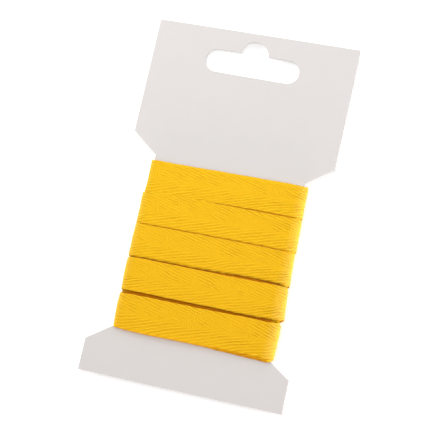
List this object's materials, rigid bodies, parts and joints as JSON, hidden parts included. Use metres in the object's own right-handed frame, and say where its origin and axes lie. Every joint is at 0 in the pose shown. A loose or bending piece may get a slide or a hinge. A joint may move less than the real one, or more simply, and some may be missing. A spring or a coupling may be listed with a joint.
{
  "type": "card of twill tape",
  "caption": "Narrow herringbone twill tape wound round the waist of a flat die-cut card with a hang slot.",
  "frame": {"origin": "on the surface that the card lies on, under the middle of its outline", "axes": "+X along the card's width, +Y from the card's foot to its hang slot, +Z out of the card's front"},
  "size_m": [0.0698, 0.123, 0.004],
  "materials": {
    "card": "matt uncoated white-grey board",
    "tape": "matt woven cotton, herringbone twill, golden yellow"
  },
  "bodies": {
    "root": {"card": "card", "tape": "tape"}
  },
  "joints": []
}
